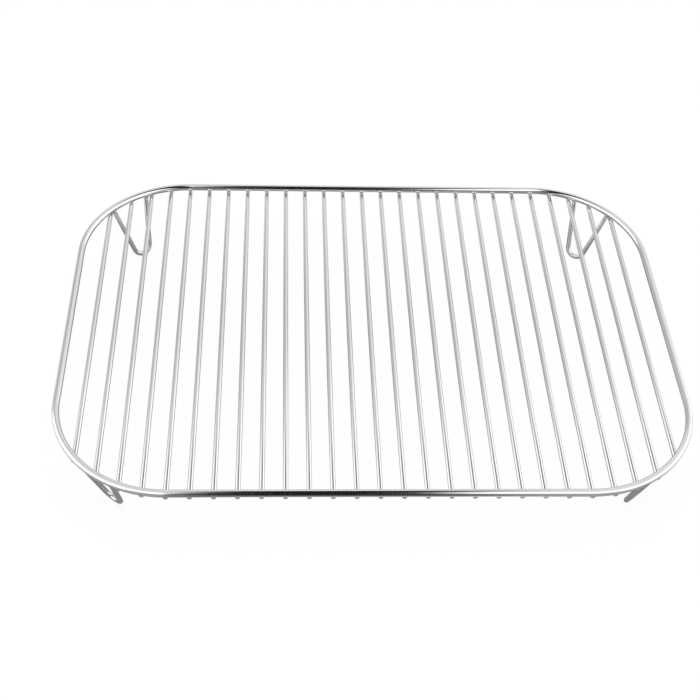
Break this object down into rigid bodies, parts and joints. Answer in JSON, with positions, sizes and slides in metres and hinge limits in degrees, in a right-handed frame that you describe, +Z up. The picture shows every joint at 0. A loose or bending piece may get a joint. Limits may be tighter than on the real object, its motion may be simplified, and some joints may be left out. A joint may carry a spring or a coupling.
{
  "type": "grill cooking grate",
  "caption": "Oblong cooking grate of plated round wire: a closed frame with rounded corners, straight cross bars welded under it and bent V-shaped legs that lean in at the corners.",
  "frame": {"origin": "on the ground that the feet stand on, under the middle of the grate", "axes": "+X along the length, +Y from front to back along the bars, +Z up"},
  "size_m": [0.428, 0.31, 0.047],
  "materials": {
    "plated_wire": "bright plated, smooth"
  },
  "bodies": {
    "root": {"frame_wire": "plated_wire", "bar_01": "plated_wire", "bar_02": "plated_wire", "bar_03": "plated_wire", "bar_04": "plated_wire", "bar_05": "plated_wire", "bar_06": "plated_wire", "bar_07": "plated_wire", "bar_08": "plated_wire", "bar_09": "plated_wire", "bar_10": "plated_wire", "bar_11": "plated_wire", "bar_12": "plated_wire", "bar_13": "plated_wire", "bar_14": "plated_wire", "bar_15": "plated_wire", "bar_16": "plated_wire", "bar_17": "plated_wire", "bar_18": "plated_wire", "bar_19": "plated_wire", "bar_20": "plated_wire", "bar_21": "plated_wire", "bar_22": "plated_wire", "bar_23": "plated_wire", "bar_24": "plated_wire", "bar_25": "plated_wire", "bar_26": "plated_wire", "bar_27": "plated_wire", "leg_front_left": "plated_wire", "leg_front_right": "plated_wire", "leg_back_left": "plated_wire", "leg_back_right": "plated_wire"}
  },
  "joints": []
}
